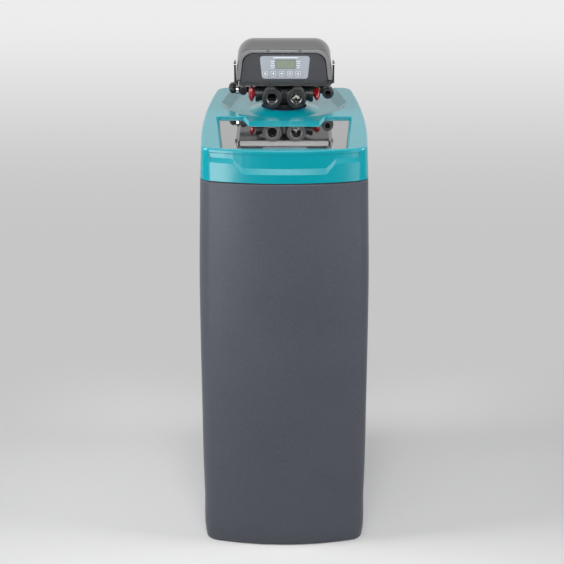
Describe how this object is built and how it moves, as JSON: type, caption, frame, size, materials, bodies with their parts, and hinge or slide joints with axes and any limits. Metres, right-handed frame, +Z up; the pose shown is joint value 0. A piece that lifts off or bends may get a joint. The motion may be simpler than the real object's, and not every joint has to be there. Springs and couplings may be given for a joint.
{
  "type": "water softener",
  "caption": "Cabinet water softener: a tall swollen brine cabinet, a glossy cover with a smoked hinged salt lid, and a control valve with bypass and push-button head.",
  "frame": {"origin": "centre of the cabinet's footprint on the floor", "axes": "+Z up, -Y to the front with the pipe ports and the display, +X to the right seen from the front"},
  "size_m": [0.3634, 0.5504, 1.0469],
  "materials": {
    "cabinet_shell": "fine moulded grain, blow-moulded grey polyethylene",
    "top_cover": "glossy moulded teal",
    "salt_lid": "smoked gloss plate",
    "lid_hinge_pins": "turned",
    "cover_screws": "zinc plated",
    "overflow_elbow": "moulded",
    "overflow_nut": "moulded",
    "resin_tank": "resin-bound wound glass fibre",
    "tank_boot": "moulded",
    "riser_tube": "extruded",
    "lower_basket": "moulded",
    "upper_basket": "moulded",
    "resin_bed": "fine beads",
    "brine_well": "extruded",
    "brine_well_cap": "moulded",
    "salt_grid": "moulded",
    "grid_legs": "moulded",
    "brine_valve": "moulded",
    "brine_pickup_tube": "extruded",
    "air_check": "clear moulded cage",
    "float_rod": "extruded",
    "float": "moulded",
    "brine_line": "milky polyethylene tube",
    "brine_elbow": "moulded",
    "brine_elbow_clip": "spring strip",
    "brine_elbow_nut": "moulded",
    "valve_body": "glass-filled black",
    "seal_stack": "moulded",
    "piston": "polished",
    "piston_rack": "moulded",
    "drive_gear": "moulded",
    "motor_pinion": "cut",
    "motor": "zinc plated can",
    "gear_plate": "moulded",
    "bypass_body": "glass-filled black",
    "union_nuts": "ribbed moulding",
    "port_tails": "moulded",
    "inlet_rotor": "moulded",
    "outlet_rotor": "moulded",
    "rotor_caps": "ribbed moulding",
    "inlet_handle": "moulded dark red",
    "outlet_handle": "moulded dark red",
    "outlet_handle_band": "formed",
    "meter_spider": "moulded",
    "turbine": "moulded",
    "drain_elbow": "moulded",
    "drain_nut": "ribbed moulding",
    "head_tray": "moulded",
    "tray_screws": "zinc plated",
    "hood": "satin grey",
    "front_panel": "moulded",
    "panel_label": "printed plate",
    "lcd": "unlit display",
    "menu_button": "moulded",
    "up_button": "moulded",
    "down_button": "moulded",
    "set_button": "moulded",
    "regenerate_button": "moulded",
    "circuit_board": "lacquered board",
    "power_inlet": "moulded"
  },
  "bodies": {
    "softener": {"cabinet_shell": "cabinet_shell", "top_cover": "top_cover", "lid_hinge_pins": "lid_hinge_pins", "cover_screws": "cover_screws", "overflow_elbow": "overflow_elbow", "overflow_nut": "overflow_nut", "resin_tank": "resin_tank", "tank_boot": "tank_boot", "riser_tube": "riser_tube", "lower_basket": "lower_basket", "upper_basket": "upper_basket", "resin_bed": "resin_bed", "brine_well": "brine_well", "salt_grid": "salt_grid", "grid_legs": "grid_legs", "brine_valve": "brine_valve", "brine_pickup_tube": "brine_pickup_tube", "air_check": "air_check", "brine_line": "brine_line", "brine_elbow": "brine_elbow", "brine_elbow_clip": "brine_elbow_clip", "brine_elbow_nut": "brine_elbow_nut", "valve_body": "valve_body", "seal_stack": "seal_stack", "motor": "motor", "gear_plate": "gear_plate", "bypass_body": "bypass_body", "union_nuts": "union_nuts", "port_tails": "port_tails", "rotor_caps": "rotor_caps", "meter_spider": "meter_spider", "drain_elbow": "drain_elbow", "drain_nut": "drain_nut", "head_tray": "head_tray", "tray_screws": "tray_screws", "front_panel": "front_panel", "panel_label": "panel_label", "lcd": "lcd", "circuit_board": "circuit_board", "power_inlet": "power_inlet"},
    "lid": {"salt_lid": "salt_lid"},
    "well_cap": {"brine_well_cap": "brine_well_cap"},
    "brine_float": {"float_rod": "float_rod", "float": "float"},
    "inlet_bypass": {"inlet_rotor": "inlet_rotor", "inlet_handle": "inlet_handle"},
    "outlet_bypass": {"outlet_rotor": "outlet_rotor", "outlet_handle": "outlet_handle", "outlet_handle_band": "outlet_handle_band"},
    "head_hood": {"hood": "hood"},
    "gear": {"drive_gear": "drive_gear"},
    "pinion": {"motor_pinion": "motor_pinion"},
    "valve_piston": {"piston": "piston", "piston_rack": "piston_rack"},
    "meter_wheel": {"turbine": "turbine"},
    "menu_key": {"menu_button": "menu_button"},
    "up_key": {"up_button": "up_button"},
    "down_key": {"down_button": "down_button"},
    "set_key": {"set_button": "set_button"},
    "regenerate_key": {"regenerate_button": "regenerate_button"}
  },
  "joints": [
    {"name": "lid_hinge", "type": "hinge", "parent": "softener", "child": "lid", "pos_m": [0, 0.0005, 0.891], "axis": [-1, 0, 0], "range_deg": [0, 95]},
    {"name": "well_cap_lift", "type": "slide", "parent": "softener", "child": "well_cap", "axis": [0, 0, 1], "range_m": [0, 0.04]},
    {"name": "float_slide", "type": "slide", "parent": "softener", "child": "brine_float", "axis": [0, 0, 1], "range_m": [0, 0.03]},
    {"name": "inlet_bypass_turn", "type": "hinge", "parent": "softener", "child": "inlet_bypass", "pos_m": [-0.06, 0.078, 0.9335], "axis": [-1, 0, 0], "range_deg": [0, 90]},
    {"name": "outlet_bypass_turn", "type": "hinge", "parent": "softener", "child": "outlet_bypass", "pos_m": [0.06, 0.078, 0.9335], "axis": [-1, 0, 0], "range_deg": [-55, 35]},
    {"name": "hood_lift", "type": "slide", "parent": "softener", "child": "head_hood", "axis": [0, 0, 1], "range_m": [0, 0.08]},
    {"name": "gear_turn", "type": "hinge", "parent": "softener", "child": "gear", "pos_m": [0.018, 0.11, 0.998], "axis": [0, 1, 0], "range_deg": [0, 114]},
    {"name": "piston_slide", "type": "slide", "parent": "softener", "child": "valve_piston", "axis": [0, 0, 1], "range_m": [0, 0.0198]},
    {"name": "pinion_turn", "type": "hinge", "parent": "softener", "child": "pinion", "pos_m": [0.058, 0.105, 0.998], "axis": [0, 1, 0], "range_deg": [-345, 0]},
    {"name": "meter_spin", "type": "hinge", "parent": "softener", "child": "meter_wheel", "pos_m": [0.0262, 0.054, 0.9335], "axis": [0, 1, 0], "continuous": true},
    {"name": "menu_press", "type": "slide", "parent": "softener", "child": "menu_key", "axis": [0, 0.9848, -0.1736], "range_m": [0, 0.001], "stiffness_N_per_m": 400, "springref_m": -0.001},
    {"name": "up_press", "type": "slide", "parent": "softener", "child": "up_key", "axis": [0, 0.9848, -0.1736], "range_m": [0, 0.001], "stiffness_N_per_m": 400, "springref_m": -0.001},
    {"name": "down_press", "type": "slide", "parent": "softener", "child": "down_key", "axis": [0, 0.9848, -0.1736], "range_m": [0, 0.001], "stiffness_N_per_m": 400, "springref_m": -0.001},
    {"name": "set_press", "type": "slide", "parent": "softener", "child": "set_key", "axis": [0, 0.9848, -0.1736], "range_m": [0, 0.001], "stiffness_N_per_m": 400, "springref_m": -0.001},
    {"name": "regenerate_press", "type": "slide", "parent": "softener", "child": "regenerate_key", "axis": [0, 0.9848, -0.1736], "range_m": [0, 0.001], "stiffness_N_per_m": 400, "springref_m": -0.001}
  ],
  "couplings": [
    {"joint": "gear_turn", "follows": "piston_slide", "rad_per_m": 100},
    {"joint": "pinion_turn", "follows": "piston_slide", "rad_per_m": -300}
  ]
}
